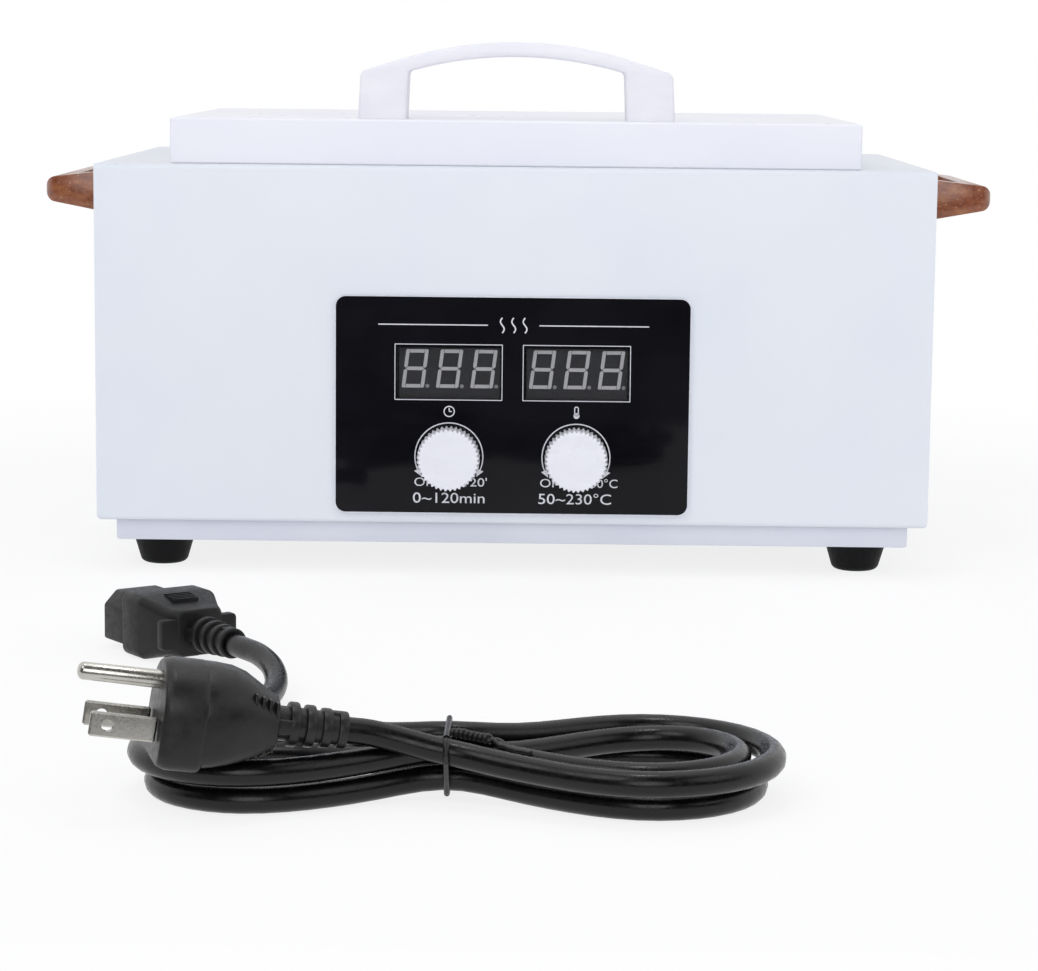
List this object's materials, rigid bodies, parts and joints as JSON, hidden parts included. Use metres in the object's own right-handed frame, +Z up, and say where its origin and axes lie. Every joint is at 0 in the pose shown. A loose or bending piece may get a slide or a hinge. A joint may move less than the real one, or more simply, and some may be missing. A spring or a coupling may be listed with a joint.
{
  "type": "dry heat sterilizer",
  "caption": "Bench dry heat sterilizer: white steel case on rubber feet, hinged lid with bow handle, heated tank with lift-out tray, dial panel, side grips and a loose mains lead.",
  "frame": {"origin": "on the floor under the middle of the sterilizer's own box, its loose mains lead left out", "axes": "+X to the right as seen from the control panel, +Y to the rear where the hinges are, +Z up"},
  "size_m": [0.367, 0.5738, 0.1979],
  "materials": {
    "white_coat": "fine satin powder coat, cool white",
    "lid_coat": "smooth white powder coat",
    "white_plastic": "glossy moulded plastic",
    "brown_bakelite": "semi-gloss brown phenolic",
    "black_panel": "glossy printed overlay",
    "smoked_window": "dark tinted window",
    "display_grey": "matt display block",
    "black_rubber": "matt black rubber",
    "black_cord": "smooth semi-gloss cord sheath",
    "stainless_steel": "brushed stainless steel",
    "zinc_steel": "zinc plated",
    "nickel": "bright nickel plate",
    "green_board": "solder resist",
    "black_plastic": "moulded black plastic",
    "blue_plastic": "moulded terminal block",
    "mineral_wool": "compressed mineral wool",
    "silicone_red": "red silicone",
    "wire_brown": "wire sheath",
    "wire_green": "wire sheath"
  },
  "bodies": {
    "casing": {"front_top_cover": "white_coat", "left_side_panel": "white_coat", "right_side_panel": "white_coat", "rear_panel": "white_coat", "base_pan": "white_coat", "left_side_handle": "brown_bakelite", "right_side_handle": "brown_bakelite", "panel_overlay": "black_panel", "left_display_window": "smoked_window", "right_display_window": "smoked_window", "left_display": "display_grey", "right_display": "display_grey", "left_front_foot": "black_rubber", "left_rear_foot": "black_rubber", "right_front_foot": "black_rubber", "right_rear_foot": "black_rubber", "connector_body": "black_rubber", "plug_body": "black_rubber", "cord_tie": "black_rubber", "cord_lead": "black_cord", "cord_hank": "black_cord", "cord_tail": "black_cord", "chamber_tank": "stainless_steel", "temperature_probe": "stainless_steel", "left_hinge_pin": "stainless_steel", "right_hinge_pin": "stainless_steel", "jacket_cradle": "zinc_steel", "transformer": "zinc_steel", "left_hinge_case_leaf": "zinc_steel", "right_hinge_case_leaf": "zinc_steel", "left_plug_blade": "nickel", "right_plug_blade": "nickel", "plug_earth_pin": "nickel", "control_board": "green_board", "left_potentiometer": "black_plastic", "right_potentiometer": "black_plastic", "inlet_housing": "black_plastic", "terminal_block": "blue_plastic", "insulation_jacket": "mineral_wool", "heater_plate": "silicone_red", "live_wire": "wire_brown", "neutral_wire": "wire_brown", "earth_wire": "wire_green"},
    "lid": {"lid_cover": "lid_coat", "lid_liner": "stainless_steel", "lid_insulation": "mineral_wool", "lid_seal": "silicone_red", "lid_handle": "white_plastic", "left_hinge_lid_leaf": "zinc_steel", "right_hinge_lid_leaf": "zinc_steel"},
    "time_dial": {"time_knob": "white_plastic", "time_shaft": "zinc_steel"},
    "temperature_dial": {"temperature_knob": "white_plastic", "temperature_shaft": "zinc_steel"},
    "fuse_carrier": {"fuse_drawer": "black_plastic", "front_fuse": "nickel", "rear_fuse": "nickel"},
    "tray": {"instrument_tray": "stainless_steel"},
    "left_ring": {"left_lift_ring": "nickel"},
    "right_ring": {"right_lift_ring": "nickel"}
  },
  "joints": [
    {"name": "lid_hinge", "type": "hinge", "parent": "casing", "child": "lid", "pos_m": [0, 0.1033, 0.1556], "axis": [-1, 0, 0], "range_deg": [0, 100]},
    {"name": "time_knob_turn", "type": "hinge", "parent": "casing", "child": "time_dial", "pos_m": [-0.0236, -0.1014, 0.0453], "axis": [0, 1, 0], "range_deg": [0, 300]},
    {"name": "temperature_knob_turn", "type": "hinge", "parent": "casing", "child": "temperature_dial", "pos_m": [0.0236, -0.1014, 0.0453], "axis": [0, 1, 0], "range_deg": [0, 300]},
    {"name": "fuse_drawer_slide", "type": "slide", "parent": "casing", "child": "fuse_carrier", "axis": [0, 1, 0], "range_m": [0, 0.02]},
    {"name": "tray_lift", "type": "slide", "parent": "casing", "child": "tray", "axis": [0, 0, 1], "range_m": [0, 0.1]},
    {"name": "left_ring_fold", "type": "hinge", "parent": "tray", "child": "left_ring", "pos_m": [-0.098, 0.0109, 0.0902], "axis": [0, -1, 0], "range_deg": [0, 90]},
    {"name": "right_ring_fold", "type": "hinge", "parent": "tray", "child": "right_ring", "pos_m": [0.098, 0.0109, 0.0902], "axis": [0, 1, 0], "range_deg": [0, 90]}
  ],
  "couplings": [
    {"joint": "tray_lift", "follows": "lid_hinge", "m_per_rad": 0.0572}
  ]
}
